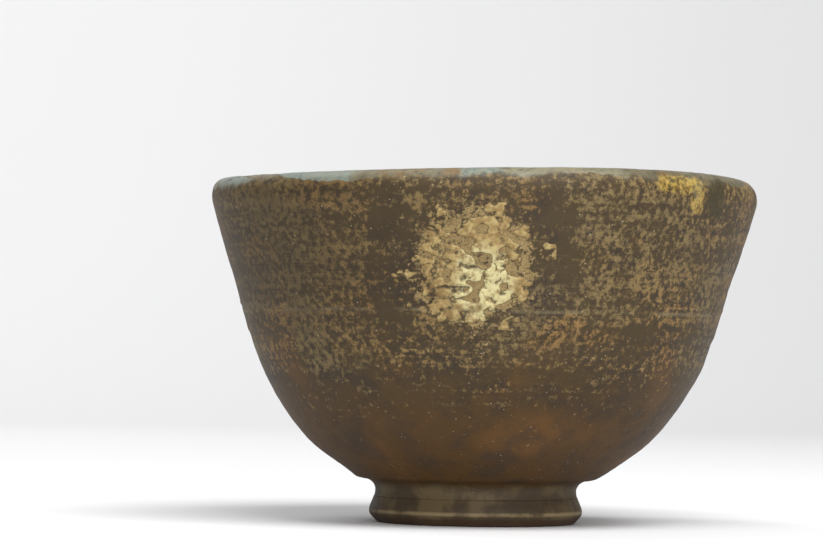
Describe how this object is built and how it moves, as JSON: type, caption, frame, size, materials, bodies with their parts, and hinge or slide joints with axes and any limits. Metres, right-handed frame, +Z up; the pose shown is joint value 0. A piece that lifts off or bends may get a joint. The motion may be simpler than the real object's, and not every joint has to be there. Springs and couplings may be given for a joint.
{
  "type": "tea bowl",
  "caption": "Wheel-thrown wood-fired stoneware tea bowl on a turned foot ring, with ash glass on the lip, an ash crust on the wall and an ash pool in the well.",
  "frame": {"origin": "on the standing plane of the foot ring, under the centre of the lip's outline", "axes": "+Z up out of the bowl's mouth; -Y is the side with the ash crust, the front in the picture; +X to its right"},
  "size_m": [0.1248, 0.1248, 0.0786],
  "materials": {
    "stoneware": "dry satin, mottled",
    "foot_clay": "dry satin",
    "lip_glass": "satin ash glaze",
    "ash_crust": "matt crackled ash",
    "pool_glass": "glossy ash glass"
  },
  "bodies": {
    "root": {"bowl_body": "stoneware", "foot_ring": "foot_clay", "foot_joint_fillet": "foot_clay", "lip_ash_glaze": "lip_glass", "front_ash_crust": "ash_crust", "well_ash_pool": "pool_glass"}
  },
  "joints": []
}
